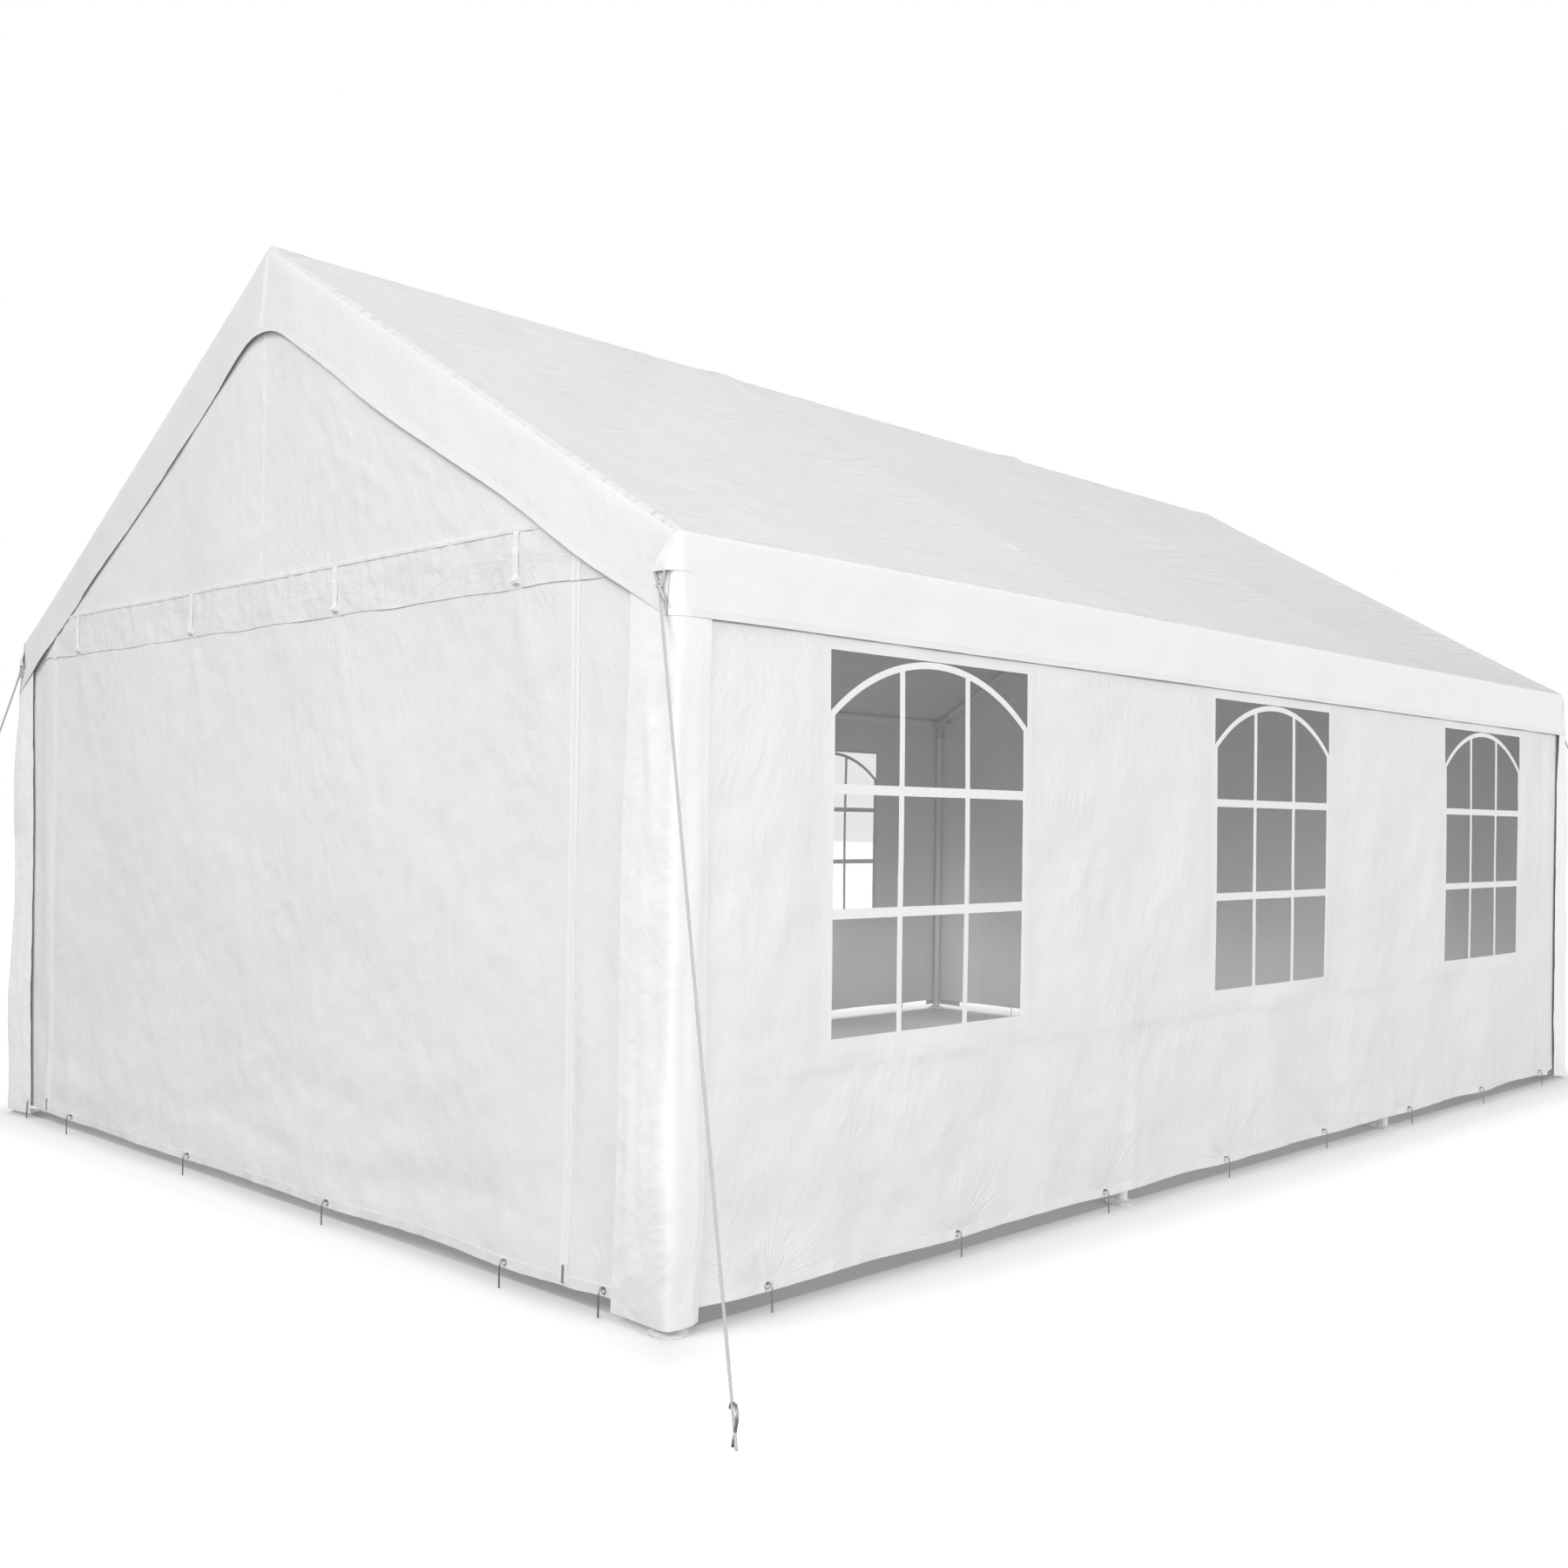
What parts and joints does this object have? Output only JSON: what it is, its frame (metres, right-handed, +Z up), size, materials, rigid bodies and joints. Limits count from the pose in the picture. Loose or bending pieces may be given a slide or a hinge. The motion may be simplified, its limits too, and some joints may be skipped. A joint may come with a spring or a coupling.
{
  "type": "marquee tent",
  "caption": "Ridge marquee tent: steel tube frame, sheet canopy with valances, hung walls with window film, roll-up gable doors, corner sleeves and guy ropes.",
  "frame": {"origin": "on the ground at the middle of the tent", "axes": "+Z up, Y along the ridge, the front gable faces -Y and the window walls face +X and -X"},
  "size_m": [5.3056, 6.8058, 3.1117],
  "materials": {
    "canopy_sheet": "white woven sheet with a light sheen",
    "wall_sheet": "white woven sheet, creased",
    "window_film": "clear film",
    "tube_steel": "white powder coat",
    "fitting_steel": "galvanised",
    "rope": "twisted light grey rope"
  },
  "bodies": {
    "root": {"roof_canopy": "canopy_sheet", "front_right_corner_sleeve": "canopy_sheet", "front_left_corner_sleeve": "canopy_sheet", "rear_right_corner_sleeve": "canopy_sheet", "rear_left_corner_sleeve": "canopy_sheet", "front_gable_wall": "wall_sheet", "rear_gable_wall": "wall_sheet", "front_door_panel": "wall_sheet", "rear_door_panel": "wall_sheet", "right_side_wall": "wall_sheet", "left_side_wall": "wall_sheet", "right_window_film_1": "window_film", "right_window_film_2": "window_film", "right_window_film_3": "window_film", "left_window_film_1": "window_film", "left_window_film_2": "window_film", "left_window_film_3": "window_film", "right_post_1": "tube_steel", "right_post_2": "tube_steel", "right_post_3": "tube_steel", "right_post_4": "tube_steel", "left_post_1": "tube_steel", "left_post_2": "tube_steel", "left_post_3": "tube_steel", "left_post_4": "tube_steel", "right_rafter_1": "tube_steel", "right_rafter_2": "tube_steel", "right_rafter_3": "tube_steel", "right_rafter_4": "tube_steel", "left_rafter_1": "tube_steel", "left_rafter_2": "tube_steel", "left_rafter_3": "tube_steel", "left_rafter_4": "tube_steel", "ridge_tube_1": "tube_steel", "ridge_tube_2": "tube_steel", "ridge_tube_3": "tube_steel", "right_eave_tube_1": "tube_steel", "right_eave_tube_2": "tube_steel", "right_eave_tube_3": "tube_steel", "left_eave_tube_1": "tube_steel", "left_eave_tube_2": "tube_steel", "left_eave_tube_3": "tube_steel", "right_eave_fitting_1": "fitting_steel", "right_eave_fitting_2": "fitting_steel", "right_eave_fitting_3": "fitting_steel", "right_eave_fitting_4": "fitting_steel", "left_eave_fitting_1": "fitting_steel", "left_eave_fitting_2": "fitting_steel", "left_eave_fitting_3": "fitting_steel", "left_eave_fitting_4": "fitting_steel", "ridge_fitting_1": "fitting_steel", "ridge_fitting_2": "fitting_steel", "ridge_fitting_3": "fitting_steel", "ridge_fitting_4": "fitting_steel", "front_right_guy_rope": "rope", "front_left_guy_rope": "rope", "rear_right_guy_rope": "rope", "rear_left_guy_rope": "rope"}
  },
  "joints": []
}
